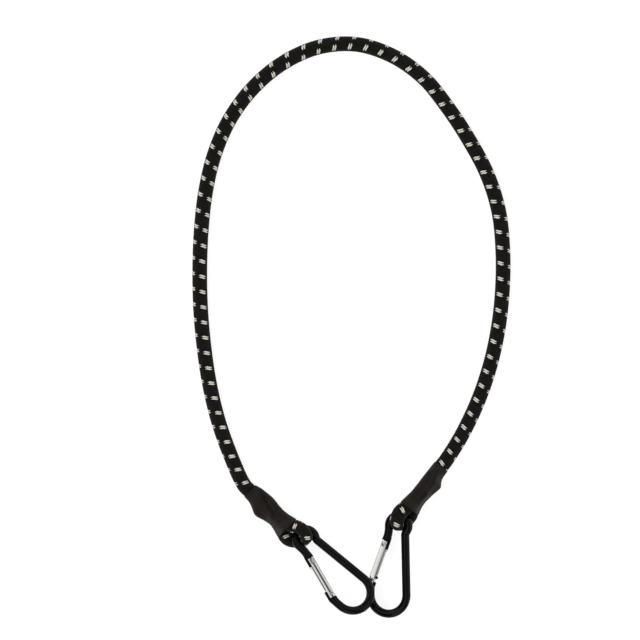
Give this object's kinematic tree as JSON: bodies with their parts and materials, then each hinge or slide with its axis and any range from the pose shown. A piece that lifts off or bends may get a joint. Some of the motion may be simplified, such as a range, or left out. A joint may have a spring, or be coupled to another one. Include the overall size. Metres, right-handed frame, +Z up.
{
  "type": "bungee cord with carabiner ends",
  "caption": "Elastic bungee cord lying in a loop, its ends folded into eyes under heat-shrink sleeves, with a snap carabiner hanging in each eye.",
  "frame": {"origin": "on the surface it lies on, under the middle of the two ends (sleeves, eyes and carabiners taken together, without the free cord)", "axes": "+X from the left end to the right end, +Y away from the carabiners towards the bend of the free cord, +Z up from the surface"},
  "size_m": [0.213, 0.3891, 0.0244],
  "materials": {
    "braided_sheath": "near-black braid with pairs of off-white tracer yarns, dry and matte",
    "rubber_core": "raw natural rubber, cut ends only",
    "crimp_steel": "zinc-plated steel, dull",
    "shrink_tube": "dark heat-shrink tube, semi-matte, drawn into wrinkles",
    "black_anodised_aluminium": "black anodised, glossy",
    "polished_aluminium": "clear anodised, polished lengthwise",
    "pin_steel": "plain steel, lightly brushed",
    "spring_steel": "drawn spring wire"
  },
  "bodies": {
    "cord": {"main_sheath": "braided_sheath", "main_core": "rubber_core", "left_eye_sheath": "braided_sheath", "left_eye_core": "rubber_core", "left_crimp_ring": "crimp_steel", "left_heat_shrink_sleeve": "shrink_tube", "right_eye_sheath": "braided_sheath", "right_eye_core": "rubber_core", "right_crimp_ring": "crimp_steel", "right_heat_shrink_sleeve": "shrink_tube"},
    "left_carabiner": {"left_carabiner_body": "black_anodised_aluminium", "left_hinge_rivet": "pin_steel"},
    "left_gate_arm": {"left_gate": "polished_aluminium", "left_latch_pin": "pin_steel", "left_gate_spring": "spring_steel"},
    "left_plunger": {"left_spring_plunger": "pin_steel"},
    "right_carabiner": {"right_carabiner_body": "black_anodised_aluminium", "right_hinge_rivet": "pin_steel"},
    "right_gate_arm": {"right_gate": "polished_aluminium", "right_latch_pin": "pin_steel", "right_gate_spring": "spring_steel"},
    "right_plunger": {"right_spring_plunger": "pin_steel"}
  },
  "joints": [
    {"name": "left_carabiner_swing", "type": "hinge", "parent": "cord", "child": "left_carabiner", "pos_m": [-0.02683, 0.0008, 0.01154], "axis": [0.21, 0.2274, 0.9509], "range_deg": [-50, 0]},
    {"name": "left_gate_hinge", "type": "hinge", "parent": "left_carabiner", "child": "left_gate_arm", "pos_m": [-0.02319, -0.01432, 0.01435], "axis": [0.21, 0.2274, 0.9509], "range_deg": [0, 25], "stiffness_Nm_per_rad": 0.12, "springref_deg": -28.65},
    {"name": "left_plunger_slide", "type": "slide", "parent": "left_gate_arm", "child": "left_plunger", "axis": [0.5024, -0.8595, 0.0946], "range_m": [0, 0.00105], "deforming": ["left_gate_spring"]},
    {"name": "right_carabiner_swing", "type": "hinge", "parent": "cord", "child": "right_carabiner", "pos_m": [0.03526, 0.00989, 0.01067], "axis": [-0.3086, -0.0237, 0.9509], "range_deg": [0, 35]},
    {"name": "right_gate_hinge", "type": "hinge", "parent": "right_carabiner", "child": "right_gate_arm", "pos_m": [0.02615, -0.0026, 0.0074], "axis": [-0.3086, -0.0237, 0.9509], "range_deg": [0, 25], "stiffness_Nm_per_rad": 0.12, "springref_deg": -28.65},
    {"name": "right_plunger_slide", "type": "slide", "parent": "right_gate_arm", "child": "right_plunger", "axis": [-0.3257, -0.9366, -0.1291], "range_m": [0, 0.00105], "deforming": ["right_gate_spring"]}
  ],
  "couplings": [
    {"joint": "left_plunger_slide", "follows": "left_gate_hinge", "m_per_rad": 0.0024064},
    {"joint": "right_plunger_slide", "follows": "right_gate_hinge", "m_per_rad": 0.0024064}
  ]
}
